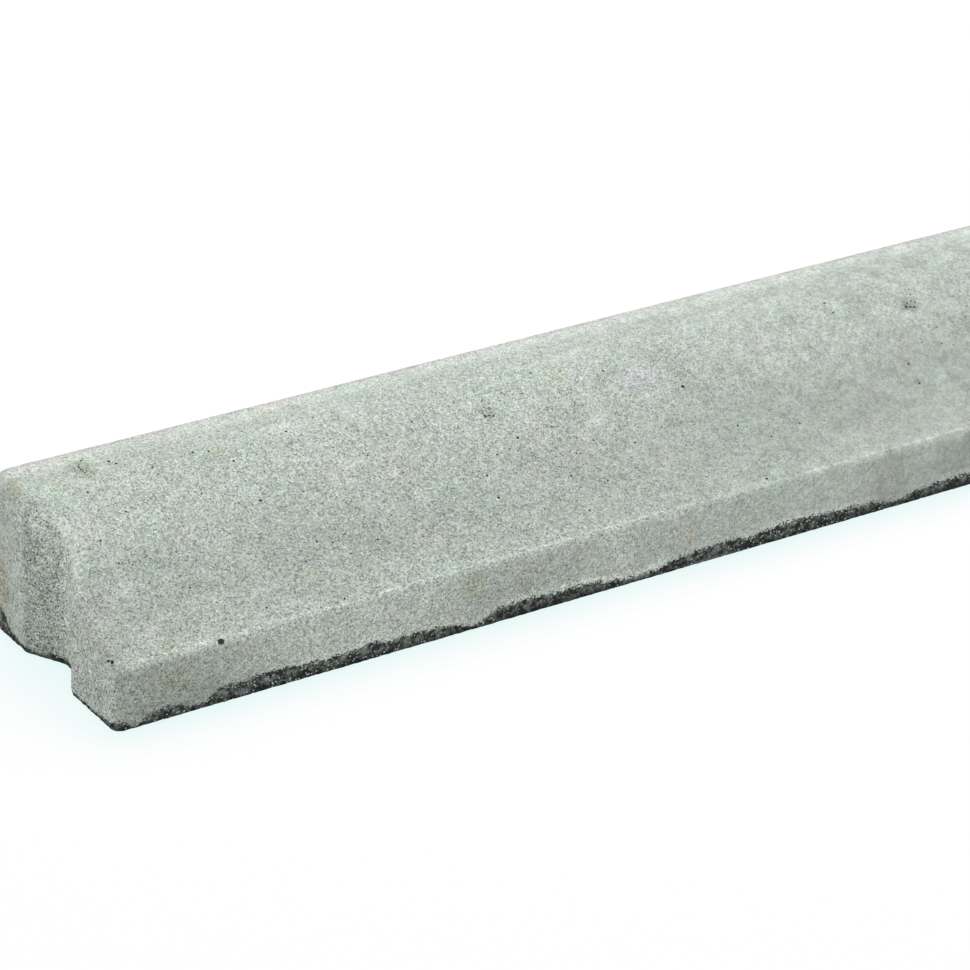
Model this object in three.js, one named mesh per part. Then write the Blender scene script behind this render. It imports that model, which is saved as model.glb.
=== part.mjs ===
// Concrete kerb stone, cast in one piece, with a groove in one end and a tongue on the other.
//
// Millimetres. +X runs along the stone from its grooved end to its tongued end, +Y from the
// road to the footway, and +Z up. The origin is the middle of the bed, which it stands on.

import * as THREE from "three";
import { mergeVertices } from "three/addons/utils/BufferGeometryUtils.js";

// Driving dimensions
const stoneLength = 1000; // end face to end face, without the tongue
const bedWidth = 200; // road face to back face
const stoneHeight = 140;

const toeHeight = 54; // upright face on the road side
const rampWidth = 66; // road face to where the ramp would meet the steeper riser
const rampRise = 31.5;
const topWidth = 50; // back face to where the riser would meet the level top
const toeRound = 6;
const hollowRound = 150; // ramp into riser
const crownRound = 115; // riser into top
const backRound = 7;

const grooveWidth = 75; // across the groove's mouth
const grooveFloor = 12; // and across its level floor
const grooveDepth = 18;
const mouthRound = 10; // end face into flank
const floorRound = 12; // flank into floor
const jointSetback = 108.5; // road face to the middle of the groove and tongue
const jointClearance = 1.5; // left all round the tongue when two stones meet

const cornerRound = 10; // upright corners of the stone, seen from above
const arrisRun = 10; // rounded edge round the ends: how far it runs along the stone
const arrisDrop = 12; // and how far it comes down the end face

const roundingShare = 0.8; // of the shorter side beside a corner, the most that rounding takes

// How finely the round stretches are divided
const arcDivisions = 4;
const arrisDivisions = 5;

const smallestStep = 0.5; // crosswise slices lie at least this far apart

// A path with straight sides, whose corners are [across, up, radius], drawn as a row of points.
function roundedOutline(corners) {
  const points = corners.map(([across, up]) => new THREE.Vector2(across, up));
  const path = new THREE.Path();
  for (let i = 1; i < corners.length - 1; i++) {
    const back = points[i - 1].clone().sub(points[i]);
    const ahead = points[i + 1].clone().sub(points[i]);
    const room = roundingShare * Math.min(back.length(), ahead.length());
    const halfTangent = Math.tan(back.angleTo(ahead) / 2);
    const tangent = Math.min(corners[i][2] / halfTangent, room);
    const radius = tangent * halfTangent;
    back.setLength(tangent);
    ahead.setLength(tangent);
    const towardsCentre = back.clone().add(ahead).setLength(Math.hypot(tangent, radius));
    const centre = points[i].clone().add(towardsCentre);
    const start = back.clone().sub(towardsCentre);
    const end = ahead.clone().sub(towardsCentre);
    path.absarc(centre.x, centre.y, radius, start.angle(), end.angle(), back.cross(ahead) > 0);
  }
  const last = points[points.length - 1];
  return [points[0], ...path.lineTo(last.x, last.y).getPoints(arcDivisions)];
}

// The stone's upper surface from road face to back: toe, ramp, hollow, riser, crown and top.
function upperOutline() {
  const outline = roundedOutline([
    [0, 0],
    [0, toeHeight, toeRound],
    [rampWidth, toeHeight + rampRise, hollowRound],
    [bedWidth - topWidth, stoneHeight, crownRound],
    [bedWidth, stoneHeight, backRound],
    [bedWidth, 0],
  ]);
  return outline.slice(1, -1); // without the two bed corners
}

// The groove or the tongue, seen from above: flanks of one slope either side of a level floor.
function jointOutline(width, depth) {
  const flankSlope = (2 * grooveDepth) / (grooveWidth - grooveFloor);
  const foot = width / 2;
  const tip = foot - depth / flankSlope;
  return roundedOutline([
    [jointSetback - bedWidth, 0],
    [jointSetback - foot, 0, mouthRound],
    [jointSetback - tip, depth, floorRound],
    [jointSetback + tip, depth, floorRound],
    [jointSetback + foot, 0, mouthRound],
    [jointSetback + bedWidth, 0],
  ]);
}

// The height of an outline at a distance across from the road face.
function heightAt(across, outline) {
  const end = outline.length - 1;
  const next = outline.findIndex((point, i) => i === end || (i > 0 && point.x >= across));
  const [low, high] = [outline[next - 1], outline[next]];
  return THREE.MathUtils.mapLinear(across, low.x, high.x, low.y, high.y);
}

// How far the upright corners draw an end face in.
function cornerInset(across) {
  const reach = Math.max(0, cornerRound - Math.min(across, bedWidth - across));
  return cornerRound - Math.sqrt(cornerRound ** 2 - reach ** 2);
}

// Distances across at which the stone is sliced: enough for the outlines and the corners.
function sliceStations(...outlines) {
  const stations = outlines.flat().map((point) => point.x);
  for (let i = 1; i <= arrisDivisions; i++) {
    const inset = cornerRound * (1 - Math.cos((i / arrisDivisions) * Math.PI / 2));
    stations.push(inset, bedWidth - inset);
  }
  stations.sort((a, b) => a - b);
  const inner = [0];
  for (const station of stations) {
    const clear = station - inner[inner.length - 1] > smallestStep;
    if (clear && bedWidth - station > smallestStep) inner.push(station);
  }
  return [...inner, bedWidth];
}

// A divided block whose slices take the upper outline's height and whose ends take the joint.
function stoneGeometry() {
  const upper = upperOutline();
  const groove = jointOutline(grooveWidth, grooveDepth);
  const tongue = jointOutline(grooveWidth - 2 * jointClearance, grooveDepth - jointClearance);
  const stations = sliceStations(upper, groove, tongue);
  const rows = stations.length - 1;
  const columns = 2 * arrisDivisions + 1;
  const block = new THREE.BoxGeometry(1, 1, 1, columns, rows, 1);
  block.deleteAttribute("normal");
  block.deleteAttribute("uv");
  const geometry = mergeVertices(block);
  const vertices = geometry.getAttribute("position");
  for (let i = 0; i < vertices.count; i++) {
    const column = Math.round((vertices.getX(i) + 0.5) * columns);
    const across = stations[Math.round((vertices.getY(i) + 0.5) * rows)];
    const tongued = column > arrisDivisions;
    const joint = tongued ? heightAt(across, tongue) : -heightAt(across, groove);
    const turn = (Math.min(column, columns - column) / arrisDivisions) * Math.PI / 2;
    const inward = cornerInset(across) + arrisRun * (1 - Math.cos(turn));
    const below = arrisDrop * (1 - Math.sin(turn));
    const along = stoneLength / 2 + joint - inward;
    const up = vertices.getZ(i) < 0 ? 0 : heightAt(across, upper) - below;
    vertices.setXYZ(i, tongued ? along : -along, across - bedWidth / 2, up);
  }
  geometry.computeVertexNormals();
  return geometry;
}

const concrete = new THREE.MeshStandardMaterial({ color: 0xb6bcb3, roughness: 0.94, metalness: 0 });

const kerbStone = new THREE.Mesh(stoneGeometry(), concrete);
kerbStone.name = "kerb_stone";

const kerb = new THREE.Group();
kerb.add(kerbStone);

export default kerb;
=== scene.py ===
# Concrete kerb stone, cast in one piece: its surface, light and camera.
# Metres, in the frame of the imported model: +X from grooved to tongued end, +Y from road to footway.
import math

import bmesh
import bpy
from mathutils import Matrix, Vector
from mathutils.kdtree import KDTree


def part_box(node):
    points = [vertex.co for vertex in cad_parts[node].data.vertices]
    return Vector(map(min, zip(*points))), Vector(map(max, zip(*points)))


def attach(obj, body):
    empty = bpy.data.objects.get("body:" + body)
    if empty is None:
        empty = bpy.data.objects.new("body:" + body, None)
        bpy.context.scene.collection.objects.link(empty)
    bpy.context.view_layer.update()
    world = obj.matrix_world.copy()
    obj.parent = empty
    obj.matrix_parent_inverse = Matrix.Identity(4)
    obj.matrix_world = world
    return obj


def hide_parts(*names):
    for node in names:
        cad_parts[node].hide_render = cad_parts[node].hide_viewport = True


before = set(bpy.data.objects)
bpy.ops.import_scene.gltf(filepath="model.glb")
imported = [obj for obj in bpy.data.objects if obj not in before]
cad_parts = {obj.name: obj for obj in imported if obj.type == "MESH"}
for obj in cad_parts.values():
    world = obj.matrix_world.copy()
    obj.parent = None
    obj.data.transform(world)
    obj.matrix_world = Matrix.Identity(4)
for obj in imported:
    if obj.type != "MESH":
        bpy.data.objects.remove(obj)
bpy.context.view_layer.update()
bpy.ops.object.select_all(action='DESELECT')

stoneLow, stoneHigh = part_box("kerb_stone")
mm = 0.001
stoneLength = -2 * stoneLow.x   # end face to end face, without the tongue
bedWidth = stoneHigh.y - stoneLow.y
print("frame loaded")


# Nodes, for the surface's shape and for its material alike

class NodePad:
    def __init__(self, tree):
        self.tree = tree

    def add(self, kind, inputs=None, **settings):
        node = self.tree.nodes.new(kind)
        for name, value in settings.items():
            setattr(node, name, value)
        for name, value in (inputs or {}).items():
            self.feed(node.inputs[name], value)
        return node

    def feed(self, socket, value):
        if isinstance(value, bpy.types.NodeSocket):
            self.tree.links.new(value, socket)
        else:
            socket.default_value = value

    def math(self, operation, first, second=0.0, third=0.0):
        node = self.add("ShaderNodeMath", operation=operation)
        for socket, value in zip(node.inputs, (first, second, third)):
            self.feed(socket, value)
        return node.outputs[0]

    def vector(self, operation, first, second=(0, 0, 0)):
        node = self.add("ShaderNodeVectorMath", {0: first, 1: second}, operation=operation)
        return node.outputs["Value" if operation in ('LENGTH', 'DISTANCE') else "Vector"]

    def scaled(self, vector, factor):
        return self.add("ShaderNodeVectorMath", {0: vector, "Scale": factor}, operation='SCALE').outputs[0]

    def mix(self, factor, first, second):
        node = self.add("ShaderNodeMix", data_type='RGBA')
        for socket, value in zip((node.inputs[0], node.inputs[6], node.inputs[7]), (factor, first, second)):
            self.feed(socket, value)
        return node.outputs[2]

    def ramp(self, value, low, high, atLow=0.0, atHigh=1.0, kind='SMOOTHSTEP'):
        return self.add("ShaderNodeMapRange", {"Value": value, "From Min": low, "From Max": high,
                                               "To Min": atLow, "To Max": atHigh},
                        interpolation_type=kind).outputs["Result"]

    def noise(self, place, scale, detail=2, roughness=0.6, shift=0.0):
        # centred on zero, so that it can be added to something; each shift gives another pattern
        if shift:
            place = self.vector('ADD', place, (shift, shift, shift))
        grain = self.add("ShaderNodeTexNoise", {"Vector": place, "Scale": scale, "Detail": detail,
                                                "Roughness": roughness})
        return self.math('SUBTRACT', grain.outputs[0], 0.5)

    def cells(self, place, scale, feature='F1'):
        return self.add("ShaderNodeTexVoronoi", {"Vector": place, "Scale": scale}, feature=feature).outputs

    def curve(self, value, points):
        node = self.add("ShaderNodeFloatCurve", {"Value": value})
        line = node.mapping.curves[0]
        while len(line.points) < len(points):
            line.points.new(0.5, 0.5)
        for point, spot in zip(line.points, points):
            point.location = spot
        node.mapping.update()
        return node.outputs[0]


def spotOnStone(along, across, up):
    return Vector((stoneLow.x + along, stoneLow.y + across, up))


# Block: toe, ramp, riser and level top, with a groove in one end and a tongue on the other

block = {
    "toeHeight": 54 * mm,
    "rampWidth": 66 * mm,         # road face to where the ramp would meet the riser
    "rampRise": 31.5 * mm,
    "topWidth": 50 * mm,          # back face to where the riser would meet the top
    "toeRound": 6 * mm,
    "hollowRound": 150 * mm,
    "crownRound": 115 * mm,
    "backRound": 7 * mm,
    "roundSegments": 8,
    "grooveWidth": 75 * mm,       # at its mouth
    "grooveFloor": 12 * mm,
    "grooveDepth": 18 * mm,
    "mouthRound": 10 * mm,
    "floorRound": 12 * mm,
    "jointSetback": 108.5 * mm,   # road face to the middle of groove and tongue
    "jointClearance": 1.5 * mm,
    "jointStep": 2 * mm,
    "cornerRound": 10 * mm,       # upright corners, seen from above
    "arrisRun": 10 * mm,          # rounded edge round each end
    "arrisDrop": 12 * mm,
    "arrisSteps": 6,
    "spareFoot": 6 * mm,          # stands below the bed until the foot is sawn off crisp
    "sawnAt": 0.01 * mm,
    "sawWeld": 0.001 * mm,
    "voxel": 1.5 * mm,
}


def selectWhere(kind, test):
    bpy.ops.mesh.select_mode(type=kind)
    bpy.ops.mesh.select_all(action='DESELECT')
    mesh = bpy.context.object.data
    shape = bmesh.from_edit_mesh(mesh)
    parts = {'VERT': shape.verts, 'EDGE': shape.edges, 'FACE': shape.faces}[kind]
    for part in parts:
        if test(part):
            part.select_set(True)
    bmesh.update_edit_mesh(mesh)


def near(value, goal):
    return abs(value - goal) < 0.01 * mm


def moveVertices(test, step):
    selectWhere('VERT', lambda vertex: test(vertex.co))
    bpy.ops.transform.translate(value=step)


def extrudeBack(run, rise):
    back = max(vertex.co.y for vertex in bmesh.from_edit_mesh(bpy.context.object.data).verts)
    selectWhere('FACE', lambda face: near(face.calc_center_median().y, back))
    bpy.ops.mesh.extrude_region_move(TRANSFORM_OT_translate={"value": (0, run, 0)})
    moveVertices(lambda place: near(place.y, back + run) and place.z > 0, (0, 0, rise))


def roundLengthwise(across, up, radius, turn):
    y = stoneLow.y + across
    selectWhere('EDGE', lambda edge: all(near(v.co.y, y) and near(v.co.z, up) for v in edge.verts))
    bpy.ops.mesh.bevel(offset=radius * math.tan(turn / 2), segments=block["roundSegments"],
                       affect='EDGES', clamp_overlap=False)


def cutAcross(place, normal):
    bpy.ops.mesh.select_all(action='SELECT')
    bpy.ops.mesh.bisect(plane_co=place, plane_no=normal)


def jointReach(across, width, depth):
    # how far groove or tongue reaches from the end face: flanks of one slope, rounded into the level parts
    pitch = math.atan(2 * block["grooveDepth"] / (block["grooveWidth"] - block["grooveFloor"]))
    away = abs(across - block["jointSetback"])
    foot = width / 2
    tip = foot - depth / math.tan(pitch)
    mouth, floor = block["mouthRound"], block["floorRound"]
    mouthTangent = mouth * math.tan(pitch / 2)
    floorTangent = floor * math.tan(pitch / 2)
    if away >= foot + mouthTangent:
        return 0
    if away > foot - mouthTangent * math.cos(pitch):
        return mouth - math.sqrt(mouth ** 2 - (foot + mouthTangent - away) ** 2)
    if away > tip + floorTangent * math.cos(pitch):
        return (foot - away) * math.tan(pitch)
    if away > tip - floorTangent:
        return depth - floor + math.sqrt(floor ** 2 - (away - tip + floorTangent) ** 2)
    return depth


def cornerInset(across):
    reach = max(0, block["cornerRound"] - min(across, bedWidth - across))
    return block["cornerRound"] - math.sqrt(block["cornerRound"] ** 2 - reach ** 2)


def buildBlock():
    height = stoneHigh.z
    toeHeight, rampWidth, rampRise = block["toeHeight"], block["rampWidth"], block["rampRise"]
    shoulder = bedWidth - block["topWidth"]
    crownRise = height - toeHeight - rampRise
    rampSlope = math.atan2(rampRise, rampWidth)
    riserSlope = math.atan2(crownRise, shoulder - rampWidth)
    spare = block["spareFoot"]

    bpy.ops.mesh.primitive_cube_add(size=1, location=(0, stoneLow.y + rampWidth / 2, (toeHeight - spare) / 2))
    kerb = bpy.context.object
    kerb.name = "kerbConcrete"
    kerb.scale = (stoneLength, rampWidth, toeHeight + spare)
    bpy.ops.object.transform_apply(location=True, rotation=False, scale=True)

    bpy.ops.object.mode_set(mode='EDIT')
    moveVertices(lambda place: near(place.y, stoneLow.y + rampWidth) and place.z > 0, (0, 0, rampRise))
    extrudeBack(shoulder - rampWidth, crownRise)
    extrudeBack(block["topWidth"], 0)

    roundLengthwise(0, toeHeight, block["toeRound"], math.pi / 2 - rampSlope)
    roundLengthwise(rampWidth, toeHeight + rampRise, block["hollowRound"], riserSlope - rampSlope)
    roundLengthwise(shoulder, height, block["crownRound"], riserSlope)
    roundLengthwise(bedWidth, height, block["backRound"], math.pi / 2)
    shapeEnds()
    bpy.ops.object.mode_set(mode='OBJECT')
    return kerb


def shapeEnds():
    half = stoneLength / 2
    steps = block["arrisSteps"]
    turns = [i / steps * math.pi / 2 for i in range(1, steps + 1)]
    rings = [(block["arrisRun"] * (1 - math.cos(turn)), block["arrisDrop"] * (1 - math.sin(turn)))
             for turn in turns]
    for inward, below in rings:
        for side in (-1, 1):
            cutAcross((side * (half - inward), 0, 0), (1, 0, 0))

    # crosswise slices: close together round the upright corners and through the joint
    acrosses = [block["cornerRound"] * (1 - math.cos(turn)) for turn in turns]
    acrosses += [bedWidth - across for across in acrosses]
    jointSlices = math.ceil((block["grooveWidth"] + block["mouthRound"]) / block["jointStep"] / 2)
    acrosses += [block["jointSetback"] + i * block["jointStep"] for i in range(-jointSlices, jointSlices + 1)]
    for across in acrosses:
        station = (0, stoneLow.y + across, 0)
        cutAcross(station, (0, 1, 0))
        # the cut's points lie on it to the last digit, so that every run gives the same mesh
        bpy.ops.transform.resize(value=(1, 0, 1), center_override=station)

    for inward, below in [(0, block["arrisDrop"])] + rings[:-1]:
        column = half - inward
        moveVertices(lambda place: near(abs(place.x), column) and place.z > 0, (0, 0, -below))

    shape = bmesh.from_edit_mesh(bpy.context.object.data)
    stations = sorted({round(vertex.co.y, 6) for vertex in shape.verts})
    innermost = half - block["arrisRun"] - mm
    clearance = block["jointClearance"]
    for station in stations:
        across = station - stoneLow.y
        groove = jointReach(across, block["grooveWidth"], block["grooveDepth"])
        tongue = jointReach(across, block["grooveWidth"] - 2 * clearance, block["grooveDepth"] - clearance)
        for side, inward in ((-1, cornerInset(across) + groove), (1, cornerInset(across) - tongue)):
            if inward:
                moveVertices(lambda place: near(place.y, station) and side * place.x > innermost,
                             (-side * inward, 0, 0))


kerb = buildBlock()
print("block shaped:", len(kerb.data.vertices), "vertices")


# Surface: what casting and handling left on it

surface = {
    "sway": 0.5 * mm,            # long shallow waves of the mould
    "swayScale": 7,
    "dimple": 0.5 * mm,
    "dimpleScale": 60,
    "grain": 0.35 * mm,
    "grainScale": 330,
    "fadesBelow": -2 * mm,       # in the spare foot, down to nothing at its underside
    "coreRecess": 0.25 * mm,     # the coarse core below the facing's lower edge
    "coreStep": 0.5 * mm,        # how soon the recess is whole, on either side of that edge
    "coreLumps": 1.3 * mm,
    "coreLumpScale": 260,
    "triangles": 190000,         # before the foot is sawn off
    "creaseAngle": 50,
}

core = {
    "tallest": 30 * mm,          # what 1 stands for in the two outlines below
    "ragged": 3.2 * mm,
    "raggedScale": 200,
    "blocky": 6.0 * mm,          # single grains of the core standing up into the facing
    "blockScale": 640,
    # where the facing ends along the road face: millimetres from the grooved end, and above the bed
    "roadLine": ((0, 8), (11, 7), (16, 1.5), (24, 4), (36, 10), (48, 10), (60, 9.5), (70, 5), (78, 5),
                 (88, 12), (100, 14), (112, 14), (122, 16), (150, 15), (166, 13), (190, 12), (212, 12.5),
                 (236, 14.5), (250, 12), (262, 12.5), (290, 12), (305, 9), (318, 7), (329, 4), (338, 7),
                 (350, 11), (365, 13.5), (394, 14), (412, 11.5), (428, 12.5), (446, 11.5), (455, 9),
                 (468, 7), (482, 6), (508, 6.5), (522, 10), (545, 12.5), (575, 14), (592, 14),
                 (606, 10.5), (615, 13.5), (655, 15), (690, 12.5), (725, 11), (745, 8), (760, 5.5),
                 (775, 8.5), (798, 11), (830, 12), (880, 9), (930, 13), (965, 7), (1000, 10)),
    # and along the other sides: millimetres from the road face, and above the bed
    "endLine": ((0, 7), (12, 5.5), (30, 3.8), (62, 3.2), (80, 3.5), (100, 5), (118, 5.5), (126, 6),
                (131, 5), (136, 3.5), (142, 4), (150, 5), (160, 6), (171, 9), (178, 14), (184, 20),
                (190, 20), (200, 12)),
    "turnsAt": (5 * mm, 8 * mm),  # behind the road face, where one line hands over to the other
    "lowLine": (0.25, 0.3),      # below this share of the tallest the edge is less ragged, down to this
    "wander": 28 * mm,           # slow rise and fall along the back and across the tongued end
    "wanderScale": 11,
    "backWithin": (8 * mm, 3 * mm),      # how far from the back it starts, and is whole
    "tongueWithin": (12 * mm, 0),        # and how far from the tongued end
}


def coreHeight(pad, place):
    # how far the facing's lower edge lies above this place: positive in the core
    along, across, up = pad.add("ShaderNodeSeparateXYZ", {0: place}).outputs
    tallest = core["tallest"]
    alongShare = pad.ramp(along, stoneLow.x, -stoneLow.x, kind='LINEAR')
    acrossShare = pad.ramp(across, stoneLow.y, stoneHigh.y, kind='LINEAR')
    roadLine = pad.curve(alongShare, [(x * mm / stoneLength, h * mm / tallest) for x, h in core["roadLine"]])
    endLine = pad.curve(acrossShare, [(y * mm / bedWidth, h * mm / tallest) for y, h in core["endLine"]])
    low, high = core["turnsAt"]
    sideways = pad.ramp(across, stoneLow.y + low, stoneLow.y + high)
    line = pad.math('ADD', pad.math('MULTIPLY', roadLine, pad.math('SUBTRACT', 1.0, sideways)),
                    pad.math('MULTIPLY', endLine, sideways))
    stones = pad.math('SUBTRACT', pad.cells(place, core["blockScale"])["Color"], 0.5)
    ragged = pad.math('MULTIPLY_ADD', pad.noise(place, core["raggedScale"], detail=3), core["ragged"],
                      pad.math('MULTIPLY', stones, core["blocky"]))
    low, least = core["lowLine"]
    taper = pad.ramp(line, 0.0, low, least, 1.0)
    turned = pad.math('MAXIMUM', pad.ramp(across, *(stoneHigh.y - away for away in core["backWithin"])),
                      pad.ramp(along, *(-stoneLow.x - away for away in core["tongueWithin"])))
    wander = pad.math('MULTIPLY', pad.noise(place, core["wanderScale"], shift=4.4), core["wander"])
    ragged = pad.math('MULTIPLY_ADD', wander, turned, ragged)
    edge = pad.math('MULTIPLY_ADD', line, tallest, pad.math('MULTIPLY', ragged, taper))
    return pad.math('SUBTRACT', edge, up)


def weatherSurface(kerb):
    tree = bpy.data.node_groups.new("castSurface", 'GeometryNodeTree')
    tree.interface.new_socket("Geometry", in_out='INPUT', socket_type='NodeSocketGeometry')
    tree.interface.new_socket("Geometry", in_out='OUTPUT', socket_type='NodeSocketGeometry')
    pad = NodePad(tree)
    start = pad.add("NodeGroupInput")
    end = pad.add("NodeGroupOutput")
    place = pad.add("GeometryNodeInputPosition").outputs[0]
    normal = pad.add("GeometryNodeInputNormal").outputs[0]

    depth = (surface["sway"] + surface["dimple"] + surface["grain"]) / 2   # the waves swing about this
    for wave, detail in (("sway", 1), ("dimple", 2), ("grain", 2)):
        swing = pad.noise(place, surface[wave + "Scale"], detail)
        depth = pad.math('MULTIPLY_ADD', swing, surface[wave], depth)
    inCore = pad.ramp(coreHeight(pad, place), -surface["coreStep"], surface["coreStep"])
    lumps = pad.cells(place, surface["coreLumpScale"], 'SMOOTH_F1')["Distance"]
    coreDepth = pad.math('MULTIPLY_ADD', lumps, surface["coreLumps"], surface["coreRecess"])
    depth = pad.math('MULTIPLY_ADD', inCore, coreDepth, depth)
    depth = pad.math('MAXIMUM', depth, 0.0)        # never outwards
    up = pad.add("ShaderNodeSeparateXYZ", {0: place}).outputs[2]
    depth = pad.math('MULTIPLY', depth, pad.ramp(up, -block["spareFoot"], surface["fadesBelow"]))
    inward = pad.scaled(normal, pad.math('MULTIPLY', depth, -1.0))
    moved = pad.add("GeometryNodeSetPosition", {"Geometry": start.outputs[0], "Offset": inward})
    tree.links.new(moved.outputs[0], end.inputs[0])

    weather = kerb.modifiers.new("weather", 'NODES')
    weather.node_group = tree
    bpy.ops.object.modifier_apply(modifier=weather.name)


def finishMesh(kerb):
    remesh = kerb.modifiers.new("remesh", 'REMESH')
    remesh.mode = 'VOXEL'
    remesh.voxel_size = block["voxel"]
    bpy.ops.object.modifier_apply(modifier=remesh.name)
    print("remeshed:", len(kerb.data.polygons), "faces")
    weatherSurface(kerb)

    triangleCount = sum(len(face.vertices) - 2 for face in kerb.data.polygons)
    thin = kerb.modifiers.new("thin", 'DECIMATE')
    thin.ratio = min(1, surface["triangles"] / triangleCount)
    bpy.ops.object.modifier_apply(modifier=thin.name)

    bpy.ops.object.mode_set(mode='EDIT')
    bpy.ops.mesh.select_all(action='SELECT')
    bpy.ops.mesh.bisect(plane_co=(0, 0, block["sawnAt"]), plane_no=(0, 0, 1), use_fill=True,
                        clear_inner=True, threshold=block["sawWeld"])
    bpy.ops.object.mode_set(mode='OBJECT')
    print("surface finished:", len(kerb.data.polygons), "faces")


finishMesh(kerb)


# Blowholes: small round pores that the mould left, and a few chips
# millimetres from the grooved end, behind the road face and above the bed, then the radius

blowholes = {
    "weld": 0.002 * mm,          # for slivers that the cut leaves along the rims
    "lift": 0.30,                # share of the radius that a hole's middle stands off the surface
    "uneven": 0.20,
    "facing": 0.6,               # how squarely a face inside a hole looks towards its middle
    "lighterHolesFrom": 150 * mm,        # the holes of the tongued end, past this, get less painted shade
    "lighterHoleShade": 0.62,               # their painted shade is this strong
    "spots": (
        # single ones on road face, grooved end, ramp and riser
        (94.8, 1.9, 54.5, 2.9), (2.2, 14.8, 57.0, 1.3), (4.4, 11.6, 57.0, 1.68), (1.9, 4.2, 35.1, 1.0),
        (0, 59.7, 30.1, 0.9), (602.2, 102.4, 109.1, 1.6), (188.6, 100.8, 108.1, 1.4),
        (458.8, 57.3, 81.3, 1.08), (45.4, 102.7, 109.3, 1.0), (76.3, 118.4, 119.5, 0.9),
        (55.6, 141.8, 131.9, 1.1), (5.7, 147.4, 132.6, 0.6), (107.5, 105.5, 111.1, 0.6),
        (118.1, 150.0, 134.9, 1.12), (50.5, 83.3, 96.7, 1.13), (95.4, 51.3, 78.5, 1.1),
        (145.5, 18.3, 62.8, 1.2), (210.6, 8.0, 57.8, 1.1), (144.0, 117.1, 118.6, 0.8),
        (157.2, 154.4, 136.0, 1.2), (170.0, 151.1, 135.2, 1.2), (184.2, 135.9, 129.4, 1.2),
        (216.3, 60.3, 82.8, 1.1), (228.5, 56.0, 80.7, 1.0), (237.4, 43.0, 74.5, 1.0),
        (241.7, 151.3, 135.2, 1.3), (266.0, 48.3, 77.1, 1.1), (271.7, 158.9, 137.2, 0.9),
        (296.0, 113.0, 116.0, 0.8), (348.6, 129.9, 126.4, 0.9), (386.3, 55.5, 80.5, 1.34),
        (455.0, 23.7, 65.3, 1.1), (466.3, 98.5, 106.6, 0.9), (476.3, 146.3, 133.6, 1.0),
        (486.9, 44.6, 75.3, 1.0), (532.1, 69.8, 88.1, 1.0), (624.6, 8.8, 58.2, 1.33),
        (631.3, 61.1, 83.2, 1.0), (654.5, 43.5, 74.8, 1.15), (687.4, 48.1, 77.0, 1.15),
        (474.9, 73.8, 90.5, 0.9), (478.2, 72.9, 90.0, 0.9), (496.2, 80.0, 94.6, 0.8),
        (453.1, 67.2, 86.5, 0.8),
        # a small broken crescent near the end of the top, and two beside it
        (72.0, 180.0, 139.9, 0.9), (69.4, 178.6, 139.8, 1.12), (65.2, 174.2, 139.6, 0.8),
        (63.6, 171.9, 139.3, 1.0), (62.9, 169.5, 139.0, 1.0), (63.4, 167.2, 138.8, 0.9),
        (63.8, 164.9, 138.4, 1.0), (64.2, 162.6, 138.0, 0.9), (66.5, 163.8, 138.1, 0.8),
        (70.3, 159.0, 137.2, 0.7), (88.7, 168.5, 138.9, 1.4), (92.9, 163.7, 138.1, 1.3),
        # loose groups on ramp and riser
        (418.1, 131.9, 127.4, 0.9), (423.7, 128.5, 125.7, 0.6), (420.2, 125.0, 123.6, 0.8),
        (413.8, 119.1, 120.0, 1.3), (417.4, 118.6, 119.8, 0.7), (420.8, 117.7, 119.1, 1.0),
        (431.6, 97.0, 105.6, 1.4), (405.8, 88.4, 100.0, 1.1), (435.8, 80.5, 94.9, 0.7),
        (387.5, 75.0, 91.3, 1.11), (486.1, 106.4, 111.7, 0.7), (498.0, 111.9, 115.3, 0.8),
        (539.3, 130.8, 126.9, 1.3), (534.2, 122.6, 122.1, 0.7), (536.1, 89.7, 100.9, 0.8),
        (601.4, 136.4, 129.7, 0.6), (614.7, 134.5, 128.8, 0.7), (693.6, 158.4, 137.1, 0.64),
        (780.7, 129.4, 126.2, 1.41), (780.0, 140.5, 131.4, 1.56), (859.0, 130.8, 126.8, 0.9),
        (867.2, 133.0, 128.0, 0.77), (865.0, 127.6, 125.1, 1.02), (861.7, 122.5, 122.1, 1.02),
        (864.8, 120.1, 120.6, 1.15), (856.6, 121.2, 121.4, 1.02), (853.9, 118.3, 119.4, 1.5),
        (857.6, 117.4, 118.9, 1.5), (861.4, 116.6, 118.3, 1.5), (835.3, 124.4, 123.2, 0.77),
        (823.6, 73.4, 90.3, 1.54), (821.6, 54.4, 79.9, 1.28), (848.6, 87.1, 99.2, 1.02),
        (852.3, 92.2, 102.5, 0.77), (866.6, 82.0, 95.9, 0.77), (877.3, 78.6, 93.7, 1.02),
        (871.7, 95.7, 104.8, 0.9), (905.4, 98.1, 106.3, 1.02), (925.4, 145.2, 133.2, 0.77),
        # back and tongued end
        (88, 200, 71, 0.9), (236, 200, 97, 1.2), (243, 200, 92, 0.6), (415, 200, 33, 0.9),
        (611, 200, 58, 1.5), (704, 200, 104, 0.7), (812, 200, 84, 1.1), (905, 200, 27, 0.8),
        (1000, 28, 47, 1.28), (1000, 176, 88, 1.54), (1000, 171, 44, 0.9),
    ),
}


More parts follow.
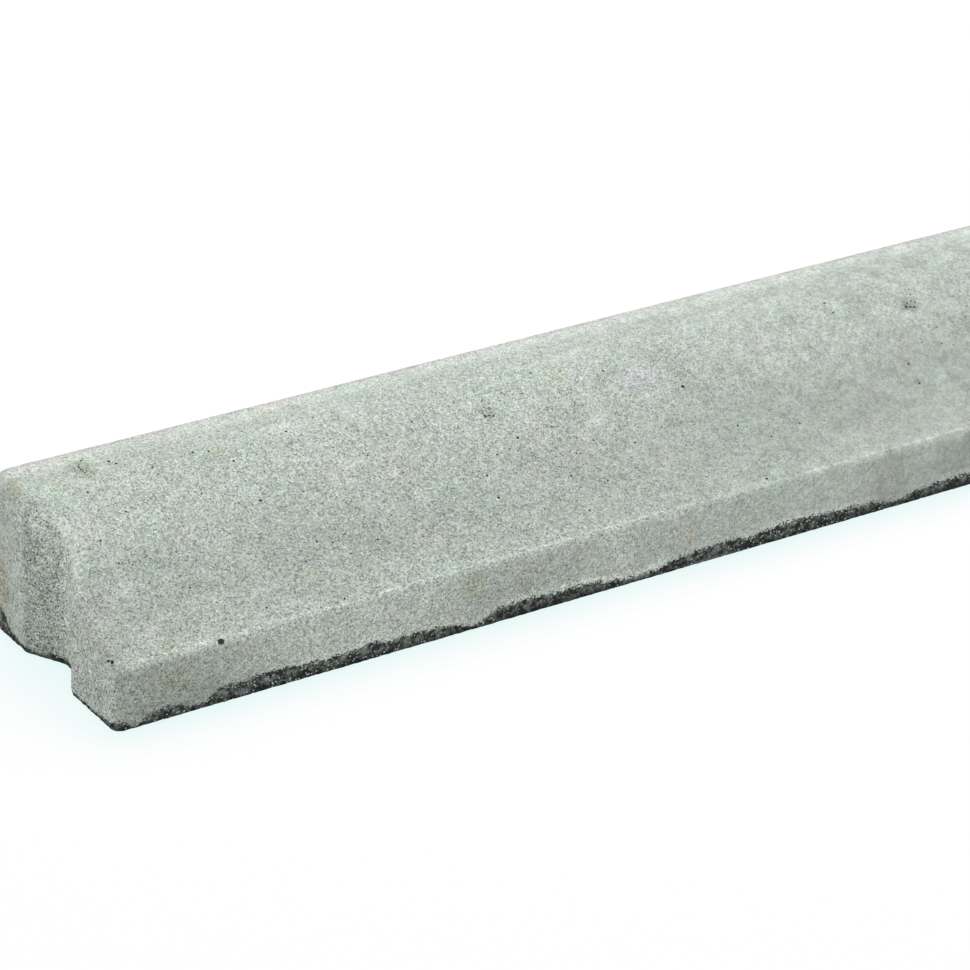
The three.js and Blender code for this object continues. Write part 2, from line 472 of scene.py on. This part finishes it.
def carveBlowholes(kerb):
    holes = []
    for along, across, up, radius in blowholes["spots"]:
        spot = spotOnStone(along * mm, across * mm, up * mm)
        found, foot, normal, face = kerb.closest_point_on_mesh(spot)
        holes.append((foot + normal * radius * mm * blowholes["lift"], radius * mm))
    for i, (middle, radius) in enumerate(holes):
        bpy.ops.mesh.primitive_ico_sphere_add(subdivisions=2, radius=radius, location=middle)
        if i == 0:
            cutter = bpy.context.object
            cutter.name = "blowholeCutter"
            bpy.ops.object.transform_apply(location=True, rotation=False, scale=False)
            bpy.ops.object.mode_set(mode='EDIT')
        bpy.ops.transform.vertex_random(offset=radius * blowholes["uneven"], seed=i, normal=1)
    bpy.ops.object.mode_set(mode='OBJECT')
    bpy.ops.object.select_all(action='DESELECT')
    bpy.context.view_layer.objects.active = kerb
    kerb.select_set(True)
    carve = kerb.modifiers.new("carve", 'BOOLEAN')
    carve.operation = 'DIFFERENCE'
    carve.object = cutter
    carve.solver = 'MANIFOLD'
    bpy.ops.object.modifier_apply(modifier=carve.name)
    bpy.data.objects.remove(cutter)
    bpy.ops.object.mode_set(mode='EDIT')
    bpy.ops.mesh.select_all(action='SELECT')
    bpy.ops.mesh.remove_doubles(threshold=blowholes["weld"])
    bpy.ops.object.mode_set(mode='OBJECT')
    bpy.ops.object.shade_smooth_by_angle(angle=math.radians(surface["creaseAngle"]))
    return holes


def markBlowholes(kerb, holes):
    # an attribute that says how much painted shade the faces inside a hole get: they look towards its middle
    faces = kerb.data.polygons
    tree = KDTree(len(faces))
    for face in faces:
        tree.insert(face.center, face.index)
    tree.balance()
    inHole = [0.0] * len(faces)
    for middle, radius in holes:
        spread = radius * blowholes["uneven"]
        dark = 1.0 if middle.x < blowholes["lighterHolesFrom"] else blowholes["lighterHoleShade"]
        for place, index, away in tree.find_range(middle, radius + spread):
            facing = (middle - place).dot(faces[index].normal)
            if away > radius - 2 * spread and facing > blowholes["facing"] * away:
                inHole[index] = dark
    kerb.data.attributes.new("blowhole", 'FLOAT', 'FACE').data.foreach_set("value", inHole)


markBlowholes(kerb, carveBlowholes(kerb))
print("blowholes carved:", len(kerb.data.polygons), "faces")


# Concrete

concrete = {
    "paste": (0.484, 0.5265, 0.4845, 1),
    "roughness": 0.93,
    "shine": 0.25,
    # mottling: scale, contrast
    "mottle": ((210, 0.42), (60, 0.36), (14, 0.19)),
    # grey sand, grain by grain: scale, contrast
    "sand": ((900, 0.80), (520, 0.24)),
    "fineGrain": (640, 0.85),
    # how much of the sand still shows at the tongued end, on the ramp and on the riser
    "farSand": (0.30, 0.52),
    "riserFrom": (-30 * mm, 0.0),        # across, from the stone's middle
    "fadesAt": (-160 * mm, 420 * mm),    # along, from its middle: where it starts to fade, and has faded
    "topSand": 0.76,             # and on the level top
    "topFrom": (35 * mm, 75 * mm),       # across, from the stone's middle
    # single dark and pale grains: scale, share of the cells, size in the cell, strength
    "darkGrains": (560, 0.19, 0.50, 0.30),
    "paleGrains": (600, 0.08, 0.44, 0.58),
    "farSpecks": (280, 0.35, 0.36, 0.84),
    "grainSizes": (0.6, 1.2),    # of that size: the smallest grain and the largest
    "grainCore": 0.5,            # of its reach: where a grain is whole
    "sandGrey": 0.48,
    "farMottle": 1.80,           # the mottling grows instead
    "endSand": 1.5,              # on the grooved end
    "endMottle": 1.7,
    # two drifts of hue: scale, how far it swings, and its two ends
    "hues": ((30, 1.5, (0.955, 1.018, 0.968), (1.035, 0.985, 1.015)),
             (42, 1.5, (1.010, 1.003, 0.955), (0.985, 0.998, 1.040))),
    "brightest": 1.4,            # what 1 stands for in the lines below
    # how light the stone is, by millimetres from the grooved end
    "alongLine": ((0, 1.0), (400, 1.0), (520, 1.0), (620, 0.97), (1000, 0.965)),
    # and by millimetres behind the road face: painted shade in the hollow, painted light up the riser and a
    # painted highlight on the top's back edge
    "acrossLine": ((0, 1.06), (4, 1.05), (10, 0.99), (20, 0.94), (32, 0.92), (45, 0.885), (56, 0.885),
                   (66, 0.915), (78, 0.95), (92, 1.0), (104, 1.045), (118, 1.09), (135, 1.06), (155, 1.06),
                   (167, 1.03), (174, 1.06), (183, 1.17), (188, 1.15), (193, 1.03), (200, 1.0)),
    # the road face, by millimetres from the grooved end; it starts and is whole
    # at these heights above the bed, and distances behind the face
    "roadUp": (53 * mm, 48 * mm),
    "roadBehind": (7 * mm, 3 * mm),
    "roadLine": ((0, 0.81), (50, 0.77), (85, 0.81), (120, 0.94), (155, 1.04), (260, 1.09), (295, 1.06),
                 (335, 0.92), (375, 0.89), (435, 0.95), (470, 1.05), (520, 0.94), (580, 0.99), (645, 1.04),
                 (715, 1.0), (750, 0.90), (785, 1.02), (820, 0.86), (1000, 0.95)),
    # the grooved end, by millimetres behind the road face: painted shade in the groove; it starts and is
    # whole at these distances below the section's outline, behind the end's, and behind the road face
    "endBelow": (8 * mm, 15 * mm),
    "endBehind": (7 * mm, 4 * mm),
    "endFrom": (1 * mm, 7 * mm),
    "grooveLine": ((0, 1.05), (20, 1.0), (60, 1.02), (75, 1.06), (100, 1.08), (113, 1.08), (119, 0.95),
                   (126, 0.90), (138, 0.86), (144, 0.80), (149, 0.92), (154, 1.0), (160, 0.98), (170, 0.92),
                   (200, 0.86)),
    # and its upper edge: lighter and in places darker, paler worn cement with painted light and shade for a
    # rounder edge than the shape has
    "arrisBelow": (15 * mm, 8 * mm),
    "arrisBehind": (16 * mm, 8 * mm),
    "arrisLine": ((0, 1.0), (15, 1.0), (35, 1.05), (60, 1.12), (85, 1.18), (108, 1.22), (125, 1.18),
                  (137, 0.98), (150, 0.93), (165, 0.95), (185, 0.98), (200, 1.0)),
    # and the facing's lowest strip: paler mortar with a painted highlight where its lower lip would catch the
    # light
    "fringeLine": ((0, 1.04), (70, 0.96), (130, 1.02), (200, 1.20), (300, 1.12), (350, 1.45), (500, 1.45),
                   (545, 1.10), (600, 1.16), (650, 1.34), (690, 1.32), (730, 1.14), (780, 1.14), (820, 1.50),
                   (860, 1.40), (1000, 1.15)),
    "fringe": (-9 * mm, -0.8 * mm),      # from so far above the core's edge
    "coreEdge": 0.15 * mm,
    # the top's back edge: where it starts and is whole, below the top, and its two sides
    "mauveEdge": (1.03, 0.98, 1.02),
    "mauveBelow": (12 * mm, 4 * mm),
    "mauveFrom": 176 * mm,
    "mauveBack": 8 * mm,
    "holeShade": 0.14,
    "bump": 0.45,
    "bumpDepth": 0.5 * mm,
}

# the coarse core at the foot: dark concrete, darkened further with painted shade of an undercut foot that the
# shape leaves out
coarse = {
    "matrix": (0.017, 0.020, 0.018, 1),
    "grain": (0.155, 0.172, 0.160, 1),
    "grainScale": 560,
    "patchScale": 130,           # darker in some places than in others
    "patch": 3.0,
    "lighterUp": (1 * mm, 8 * mm, 0.76, 1.55),   # two heights above the bed, and how light it is there: darker towards the bed, painted shade at the foot
    # single pale grains: their share of all, by millimetres from the grooved end
    "paleShare": ((0, 0.10), (300, 0.10), (350, 0.03), (460, 0.03), (530, 0.06), (720, 0.06), (790, 0.02),
                  (1000, 0.02)),
    "pale": (0.60, 0.62, 0.60, 1),
    "paleSize": (0.55, 0.3),     # in its cell: where a grain starts, and is whole
    # pale places and a dark one, as for the stains below
    "spotFade": (1.3, 0.4),
    "spotCover": 0.8,
    "spotUneven": 0.5,           # grain by grain
    "spots": (
        ((116, 0, 4), (11, 12, 4), (0.26, 0.255, 0.28)),
        ((492, 0, 6), (12, 12, 6), (0.30, 0.295, 0.325)),
        ((565, 0, 0), (40, 12, 4), (0.22, 0.23, 0.23)),
        ((7, 134, 6), (9, 12, 6), (0.30, 0.32, 0.33)),
        ((840, 0, 1), (70, 12, 5.5), (0.032, 0.036, 0.033)),
    ),
}

# the pale line along the toe's upper edge: millimetres from the grooved end, then how far
# behind the road face it runs, and how clear it is
edgeLine = {
    "widest": 10 * mm,           # what 1 stands for in "run"
    "run": ((0, 5.2), (80, 5.2), (120, 6.0), (180, 5.5), (200, 3.8), (240, 4.5), (270, 5.4), (330, 5.4),
            (400, 5.4), (470, 5.8), (530, 5.8), (580, 4.4), (640, 4.6), (700, 5.0), (840, 4.6), (1000, 4.6)),
    "clear": ((0, 0.85), (80, 0.85), (98, 0.3), (150, 0.35), (190, 0.7), (215, 0.75), (250, 1.0), (330, 0.85),
              (500, 1.0), (560, 0.55), (600, 0.25), (650, 0.6), (720, 0.75), (840, 0.6), (1000, 0.6)),
    "halfWidth": 1.2 * mm,
    "wander": 1.2 * mm,
    "wanderScale": 60,
    "from": (53 * mm, 55 * mm),  # above the bed
    "gapScale": 150,             # it is patchy: where the noise is low, this much is left
    "gaps": (-0.2, 0.1, 0.3, 1.0),
    "brightness": 1.34,
}

# stains: millimetres from the grooved end, behind the road face and above the bed, reach each way, colour
stains = {
    "breakUpScale": 90,
    "breakUp": 1.6,
    "fade": (1.1, 0.2),          # in reaches from its middle: where a stain starts, and is whole
    "spots": (
        # road face
        ((50, 0, 33), (24, 12, 13), (0.96, 0.93, 0.85)),
        ((319, 0, 48), (10, 10, 10), (1.05, 0.97, 0.91)),
        ((331, 0, 38), (14, 12, 13), (0.97, 0.97, 0.87)),
        ((379, 0, 37), (12, 12, 17), (1.04, 0.97, 0.965)),
        ((538, 0, 30), (16, 12, 14), (1.05, 0.965, 0.94)),
        ((754, 0, 44), (16, 12, 12), (0.96, 0.945, 0.90)),
        ((509, 0, 14), (14, 12, 9), (1.22, 1.19, 1.25)),
        # ramp, riser and top
        ((17, 62, 84), (14, 16, 14), (1.03, 0.97, 0.99)),
        ((57, 12, 60), (14, 10, 8), (1.01, 0.98, 0.94)),
        ((89, 103, 109), (14, 14, 14), (0.96, 1.02, 0.97)),
        ((177, 147, 134), (12, 12, 12), (0.98, 0.98, 0.88)),
        ((196, 35, 71), (12, 12, 12), (0.99, 0.98, 0.92)),
        ((417, 121, 121), (10, 10, 10), (0.68, 0.68, 0.66)),
        ((496, 138, 130), (12, 12, 12), (0.98, 0.98, 0.90)),
        ((515, 108, 113), (12, 12, 12), (1.03, 1.05, 1.0)),
        ((565, 118, 120), (22, 18, 18), (1.06, 1.02, 1.09)),
        ((859, 119, 120), (11, 10, 10), (0.62, 0.63, 0.62)),
        ((40, 188, 139), (34, 12, 12), (1.02, 1.0, 0.99)),
        ((248, 189, 140), (22, 8, 10), (1.05, 0.97, 0.96)),
        ((30, 152, 133), (16, 16, 12), (0.98, 1.02, 0.98)),
        ((65, 168, 138), (14, 15, 12), (0.72, 0.75, 0.66)),
        # cloudy patches
        ((88, 0, 46), (14, 12, 10), (1.12, 1.12, 1.12)),
        ((156, 0, 50), (12, 12, 8), (0.89, 0.89, 0.89)),
        ((228, 0, 24), (16, 12, 9), (1.12, 1.12, 1.12)),
        ((332, 0, 51), (12, 12, 7), (0.90, 0.90, 0.90)),
        ((472, 0, 25), (14, 12, 9), (1.12, 1.12, 1.12)),
        ((520, 0, 49), (34, 12, 8), (1.09, 1.09, 1.09)),
        ((820, 0, 50), (14, 12, 8), (1.14, 1.14, 1.14)),
        ((104, 35, 71), (34, 12, 12), (1.12, 1.12, 1.12)),
        ((48, 65, 85), (18, 12, 12), (1.15, 1.15, 1.15)),
        ((70, 82, 96), (34, 8, 12), (0.92, 0.92, 0.92)),
        ((330, 72, 90), (16, 16, 14), (1.11, 1.11, 1.11)),
        ((432, 79, 94), (24, 9, 12), (0.87, 0.87, 0.87)),
        ((506, 95, 104), (14, 10, 12), (1.15, 1.15, 1.15)),
        ((540, 125, 123), (12, 9, 12), (0.87, 0.87, 0.87)),
        ((578, 122, 122), (14, 14, 14), (1.09, 1.09, 1.09)),
        ((540, 35, 71), (14, 9, 12), (0.90, 0.90, 0.90)),
        ((242, 155, 136), (34, 10, 12), (1.15, 1.15, 1.15)),
        ((662, 156, 136), (32, 10, 12), (1.13, 1.13, 1.13)),
        ((505, 142, 131), (14, 8, 12), (1.13, 1.13, 1.13)),
        ((735, 132, 127), (40, 12, 14), (0.93, 0.93, 0.93)),
        ((650, 184, 140), (24, 8, 10), (0.90, 0.90, 0.90)),
        ((857, 57, 82), (19, 15, 15), (1.18, 1.18, 1.18)),
        ((85, 0, 18), (12, 12, 7), (0.87, 0.87, 0.87)),
        ((682, 125, 123), (14, 8, 12), (0.91, 0.91, 0.91)),
        ((156, 65, 85), (14, 9, 12), (1.10, 1.10, 1.10)),
        ((645, 15, 61), (14, 10, 10), (1.09, 1.09, 1.09)),
        ((752, 80, 94), (12, 9, 12), (1.10, 1.10, 1.10)),
        ((820, 81, 95), (12, 9, 12), (1.10, 1.10, 1.10)),
        ((436, 20, 64), (12, 9, 10), (0.91, 0.91, 0.91)),
        # grooved end
        ((5, 171, 136), (15, 15, 18), (0.96, 0.91, 0.83)),
        ((6, 137, 117), (15, 16, 17), (1.26, 1.25, 1.25)),
        ((16, 118, 111), (10, 12, 15), (1.14, 1.13, 1.13)),
        ((14, 144, 132), (14, 10, 10), (0.84, 0.84, 0.84)),
        ((0, 182, 40), (10, 9, 36), (0.92, 0.82, 0.66)),
        ((5, 17, 60), (10, 11, 9), (1.05, 0.96, 0.98)),
    ),
}


def alongLine(pad, along, points, widest):
    share = pad.ramp(along, stoneLow.x, -stoneLow.x, kind='LINEAR')
    return pad.curve(share, [(x * mm / stoneLength, value / widest) for x, value in points])


def colourTimes(pad, colour, factor, tint):
    # where factor is 1 the colour is multiplied by the tint
    return pad.mix(factor, colour, pad.vector('MULTIPLY', colour, tint[:3]))


def grainSpots(pad, place, scale, share, size):
    cell = pad.cells(place, scale)
    pick = pad.add("ShaderNodeSeparateColor", {0: cell["Color"]}).outputs
    least, most = concrete["grainSizes"]
    reach = pad.math('MULTIPLY_ADD', pick[1], size * (most - least), size * least)
    spot = pad.ramp(cell["Distance"], reach, pad.math('MULTIPLY', reach, concrete["grainCore"]))
    return pad.math('MULTIPLY', spot, pad.math('LESS_THAN', pick[0], share))


def brightnessLine(pad, share, name, length):
    top = concrete["brightest"]
    line = pad.curve(share, [(x * mm / length, level / top) for x, level in concrete[name]])
    return pad.math('MULTIPLY', line, top)


def blend(pad, share, first, second):
    return pad.math('ADD', pad.math('MULTIPLY', first, pad.math('SUBTRACT', 1.0, share)),
                    pad.math('MULTIPLY', second, share))


def brightness(pad, along, across, up, alongShare, acrossShare):
    # painted light and shade across the section: darker in the hollow, lighter towards the top
    light = brightnessLine(pad, acrossShare, "acrossLine", bedWidth)
    roadLight = brightnessLine(pad, alongShare, "roadLine", stoneLength)
    onRoadFace = pad.math('MULTIPLY', pad.ramp(up, *concrete["roadUp"]),
                          pad.ramp(across, *(stoneLow.y + away for away in concrete["roadBehind"])))
    light = blend(pad, onRoadFace, light, roadLight)

    # the grooved end lies behind the groove's outline and below the section's
    high = stoneHigh.z
    ramp = (block["rampWidth"] / bedWidth, (block["toeHeight"] + block["rampRise"]) / high)
    crest = pad.curve(acrossShare, ((0, block["toeHeight"] / high), ramp,
                                    (1 - block["topWidth"] / bedWidth, 1), (1, 1)))
    below = pad.math('SUBTRACT', pad.math('MULTIPLY', crest, high), up)
    middle, half = block["jointSetback"] / bedWidth, block["grooveWidth"] / bedWidth / 2
    floor = block["grooveFloor"] / bedWidth / 2
    groove = pad.curve(acrossShare, ((0, 0), (middle - half, 0), (middle - floor, 1), (middle + floor, 1),
                                     (middle + half, 0), (1, 0)))
    behind = pad.math('SUBTRACT', along, stoneLow.x)
    behind = pad.math('MULTIPLY_ADD', groove, -block["grooveDepth"], behind)
    inside = pad.ramp(across, *(stoneLow.y + away for away in concrete["endFrom"]))
    onEnd = pad.math('MULTIPLY', pad.ramp(below, *concrete["endBelow"]), inside)
    onEnd = pad.math('MULTIPLY', onEnd, pad.ramp(behind, *concrete["endBehind"]))
    onArris = pad.math('MULTIPLY', pad.ramp(below, *concrete["arrisBelow"]), inside)
    onArris = pad.math('MULTIPLY', onArris, pad.ramp(behind, *concrete["arrisBehind"]))
    # painted shade in the groove of the grooved end
    light = blend(pad, onEnd, light, brightnessLine(pad, acrossShare, "grooveLine", bedWidth))
    # the end's upper edge: paler worn cement, with painted light and shade
    wornAndLitEdge = pad.math('MULTIPLY', light, brightnessLine(pad, acrossShare, "arrisLine", bedWidth))
    light = blend(pad, onArris, light, wornAndLitEdge)
    return pad.math('MULTIPLY', light, brightnessLine(pad, alongShare, "alongLine", stoneLength)), onEnd


def wornLine(pad, place, along, across, up):
    run = pad.math('MULTIPLY', alongLine(pad, along, edgeLine["run"], edgeLine["widest"] / mm),
                   edgeLine["widest"])
    run = pad.math('MULTIPLY_ADD', pad.noise(place, edgeLine["wanderScale"]), edgeLine["wander"], run)
    away = pad.math('ABSOLUTE', pad.math('SUBTRACT', pad.math('SUBTRACT', across, stoneLow.y), run))
    onLine = pad.ramp(away, edgeLine["halfWidth"], 0.0)
    onLine = pad.math('MULTIPLY', onLine, pad.ramp(up, *edgeLine["from"]))
    onLine = pad.math('MULTIPLY', onLine, alongLine(pad, along, edgeLine["clear"], 1))
    gaps = pad.ramp(pad.noise(place, edgeLine["gapScale"], detail=1, roughness=0.5), *edgeLine["gaps"])
    return pad.math('MULTIPLY', onLine, gaps)


def farFrom(pad, place, spot, reach):
    # how far away a spot is: 1 at its reach
    offset = pad.vector('SUBTRACT', place, spotOnStone(*(value * mm for value in spot)))
    return pad.vector('LENGTH', pad.vector('DIVIDE', offset, [value * mm for value in reach]))


def facingColour(pad, place, along, across, up):
    alongShare = pad.ramp(along, stoneLow.x, -stoneLow.x, kind='LINEAR')
    acrossShare = pad.ramp(across, stoneLow.y, stoneHigh.y, kind='LINEAR')
    light, onEnd = brightness(pad, along, across, up, alongShare, acrossShare)
    value = light
    swing = pad.ramp(along, *concrete["fadesAt"], 1.0, concrete["farMottle"])
    swing = pad.math('MULTIPLY_ADD', onEnd, concrete["endMottle"] - 1, swing)
    for i, (scale, contrast) in enumerate(concrete["mottle"]):
        mottle = pad.math('MULTIPLY', pad.noise(place, scale, shift=i * 3.1), swing)
        mottle = pad.math('MULTIPLY_ADD', mottle, contrast, 1.0)
        value = pad.math('MULTIPLY', value, mottle)

    farSand = pad.ramp(across, *concrete["riserFrom"], *concrete["farSand"])
    fade = pad.ramp(along, *concrete["fadesAt"], 1.0, farSand)
    fade = pad.math('MULTIPLY', fade, pad.ramp(across, *concrete["topFrom"], 1.0, concrete["topSand"]))
    fade = pad.math('MULTIPLY', fade, pad.math('MULTIPLY_ADD', onEnd, concrete["endSand"] - 1, 1.0))
    relief = pad.noise(place, concrete["fineGrain"][0], shift=2.3)
    sand = pad.math('MULTIPLY', relief, concrete["fineGrain"][1])
    for scale, contrast in concrete["sand"]:
        grain = pad.add("ShaderNodeSeparateColor", {0: pad.cells(place, scale)["Color"]}).outputs[0]
        sand = pad.math('MULTIPLY_ADD', pad.math('SUBTRACT', grain, 0.5), contrast, sand)
    scale, share, size, strength = concrete["paleGrains"]
    sand = pad.math('MULTIPLY_ADD', grainSpots(pad, place, scale, share, size), strength, sand)
    scale, share, size, strength = concrete["darkGrains"]
    dark = pad.math('MULTIPLY', grainSpots(pad, place, scale, share, size), fade)
    dark = pad.math('MULTIPLY_ADD', dark, strength - 1, 1.0)
    scale, share, size, strength = concrete["farSpecks"]
    specks = grainSpots(pad, place, scale, share, size)
    specks = pad.math('MULTIPLY', specks, pad.ramp(along, *concrete["fadesAt"]))
    dark = pad.math('MULTIPLY', dark, pad.math('MULTIPLY_ADD', specks, strength - 1, 1.0))

    onLine = wornLine(pad, place, along, across, up)
    value = pad.math('MULTIPLY', value, pad.math('MULTIPLY_ADD', onLine, edgeLine["brightness"] - 1, 1.0))

    colour = pad.scaled(concrete["paste"][:3], value)
    for i, (scale, swing, first, second) in enumerate(concrete["hues"]):
        drift = pad.noise(place, scale, roughness=0.5, shift=5.3 + i * 2.2)
        drift = pad.math('MULTIPLY_ADD', drift, swing, 0.5)
        colour = pad.vector('MULTIPLY', colour, pad.mix(drift, (*first, 1), (*second, 1)))
    edge = pad.math('MULTIPLY', pad.ramp(up, *(stoneHigh.z - away for away in concrete["mauveBelow"])),
                    pad.ramp(across, stoneLow.y + concrete["mauveFrom"], stoneHigh.y - concrete["mauveBack"]))
    colour = colourTimes(pad, colour, edge, concrete["mauveEdge"])
    breakUp = pad.noise(place, stains["breakUpScale"], detail=3, shift=9.7)
    for spot, reach, tint in stains["spots"]:
        away = pad.math('MULTIPLY_ADD', breakUp, stains["breakUp"], farFrom(pad, place, spot, reach))
        colour = colourTimes(pad, colour, pad.ramp(away, *stains["fade"]), tint)
    sand = pad.math('MULTIPLY', pad.math('MULTIPLY', sand, fade), concrete["sandGrey"])
    colour = pad.vector('ADD', colour, pad.math('MULTIPLY', sand, light))
    return pad.scaled(colour, dark), relief


def coarseColour(pad, place):
    cell = pad.cells(place, coarse["grainScale"])
    pick = pad.add("ShaderNodeSeparateColor", {0: cell["Color"]}).outputs
    patch = pad.math('MULTIPLY', pad.noise(place, coarse["patchScale"], shift=1.9), coarse["patch"])
    share = pad.math('ADD', pad.math('POWER', pick[0], 2.0), patch)    # most grains are dark
    colour = pad.mix(share, coarse["matrix"], coarse["grain"])
    along, _, up = pad.add("ShaderNodeSeparateXYZ", {0: place}).outputs
    # painted shade at the foot: darker towards the bed
    colour = pad.scaled(colour, pad.ramp(up, *coarse["lighterUp"]))
    uneven = pad.math('MULTIPLY', pick[2], coarse["spotUneven"])
    for spot, reach, paint in coarse["spots"]:
        away = pad.math('ADD', farFrom(pad, place, spot, reach), uneven)
        onSpot = pad.ramp(away, *coarse["spotFade"], 0.0, coarse["spotCover"])
        colour = pad.mix(onSpot, colour, (*paint, 1))
    pale = pad.math('LESS_THAN', pick[1], alongLine(pad, along, coarse["paleShare"], 1))
    pale = pad.math('MULTIPLY', pale, pad.ramp(cell["Distance"], *coarse["paleSize"]))
    return pad.mix(pale, colour, coarse["pale"])


def concreteMaterial():
    material = bpy.data.materials.new("castConcrete")
    material.use_nodes = True
    tree = material.node_tree
    tree.nodes.clear()
    pad = NodePad(tree)
    place = pad.add("ShaderNodeTexCoord").outputs["Object"]
    along, across, up = pad.add("ShaderNodeSeparateXYZ", {0: place}).outputs
    colour, relief = facingColour(pad, place, along, across, up)
    coreColour = coarseColour(pad, place)

    height = coreHeight(pad, place)
    alongShare = pad.ramp(along, stoneLow.x, -stoneLow.x, kind='LINEAR')
    # the facing's lowest strip lighter: paler mortar and a painted highlight on its lip
    fringe = blend(pad, pad.ramp(height, *concrete["fringe"]), 1.0,
                   brightnessLine(pad, alongShare, "fringeLine", stoneLength))
    colour = pad.scaled(colour, fringe)
    inCore = pad.ramp(height, -concrete["coreEdge"], concrete["coreEdge"])
    colour = pad.mix(inCore, colour, coreColour)

    # painted shade inside the blowholes, darker than their shape alone makes them
    inHole = pad.add("ShaderNodeAttribute", attribute_name="blowhole").outputs["Fac"]
    colour = pad.scaled(colour, pad.math('MULTIPLY_ADD', inHole, concrete["holeShade"] - 1, 1.0))

    bump = pad.add("ShaderNodeBump", {"Height": relief, "Strength": concrete["bump"],
                                      "Distance": concrete["bumpDepth"]})
    shader = pad.add("ShaderNodeBsdfPrincipled", {"Base Color": colour, "Roughness": concrete["roughness"],
                                                  "Specular IOR Level": concrete["shine"],
                                                  "Normal": bump.outputs[0]})
    out = pad.add("ShaderNodeOutputMaterial")
    tree.links.new(shader.outputs[0], out.inputs["Surface"])
    return material


kerb.data.materials.clear()
kerb.data.materials.append(concreteMaterial())
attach(kerb, "root")
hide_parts("kerb_stone")
print("concrete mixed")


# Floor, light and camera

studio = {
    "floorSize": 30,
    "floorBounce": (0.86, 0.86, 0.86, 1),    # as it lights the stone
    # as the eye sees it: white in the open and bluish in the shadow
    "floorGlow": (0.676, 0.897, 0.876, 1),
    "floorPaint": (0.317, 0.098, 0.118, 1),
    "skyStrength": 0.70,
    "lampEnergy": 57,
    "lampSize": 2.5,
    "lampPlace": (0.75, 1.30, 2.60),
    "lampAim": (0, 0, 0.05),
}

view = {
    "place": (-1.8570, -2.5702, 1.6704),
    "turn": (62.751, -1.942, -33.396),   # degrees
    "lens": 158.08,
    "sensor": 36,
}


def addFloor():
    bpy.ops.mesh.primitive_plane_add(size=studio["floorSize"], location=(0, 0, 0))
    floor = bpy.context.object
    floor.name = "floor"
    material = bpy.data.materials.new("floorWhite")
    material.use_nodes = True
    tree = material.node_tree
    tree.nodes.clear()
    pad = NodePad(tree)
    light = pad.add("ShaderNodeLightPath").outputs
    seen = pad.math('MAXIMUM', light["Is Camera Ray"], pad.math('MAXIMUM', light["Is Glossy Ray"],
                                                               light["Is Transmission Ray"]))
    colour = pad.mix(seen, studio["floorBounce"], studio["floorPaint"])
    paint = pad.add("ShaderNodeBsdfDiffuse", {"Color": colour})
    glow = pad.add("ShaderNodeEmission", {"Color": studio["floorGlow"], "Strength": seen})
    both = pad.add("ShaderNodeAddShader", {0: paint.outputs[0], 1: glow.outputs[0]})
    out = pad.add("ShaderNodeOutputMaterial")
    tree.links.new(both.outputs[0], out.inputs["Surface"])
    floor.data.materials.append(material)


def addSky():
    world = bpy.data.worlds.new("studioSky")
    bpy.context.scene.world = world
    world.use_nodes = True
    tree = world.node_tree
    tree.nodes.clear()
    pad = NodePad(tree)
    light = pad.add("ShaderNodeLightPath").outputs
    strength = pad.math('MAXIMUM', light["Is Camera Ray"], studio["skyStrength"])
    sky = pad.add("ShaderNodeBackground", {"Color": (1, 1, 1, 1), "Strength": strength})
    out = pad.add("ShaderNodeOutputWorld")
    tree.links.new(sky.outputs[0], out.inputs["Surface"])


def addLamp():
    bpy.ops.object.light_add(type='AREA', location=studio["lampPlace"])
    lamp = bpy.context.object
    lamp.name = "softLamp"
    lamp.data.size = studio["lampSize"]
    lamp.data.energy = studio["lampEnergy"]
    aim = Vector(studio["lampAim"]) - Vector(studio["lampPlace"])
    lamp.rotation_euler = aim.to_track_quat('-Z', 'Y').to_euler()


def addCamera():
    bpy.ops.object.camera_add(location=view["place"],
                              rotation=[math.radians(angle) for angle in view["turn"]])
    camera = bpy.context.object
    camera.data.lens = view["lens"]
    camera.data.sensor_width = view["sensor"]
    camera.data.sensor_fit = 'HORIZONTAL'
    bpy.context.scene.camera = camera


bpy.ops.object.select_all(action='DESELECT')
addFloor()
addSky()
addLamp()
addCamera()
bpy.context.scene.view_settings.view_transform = 'Standard'
print("studio set")
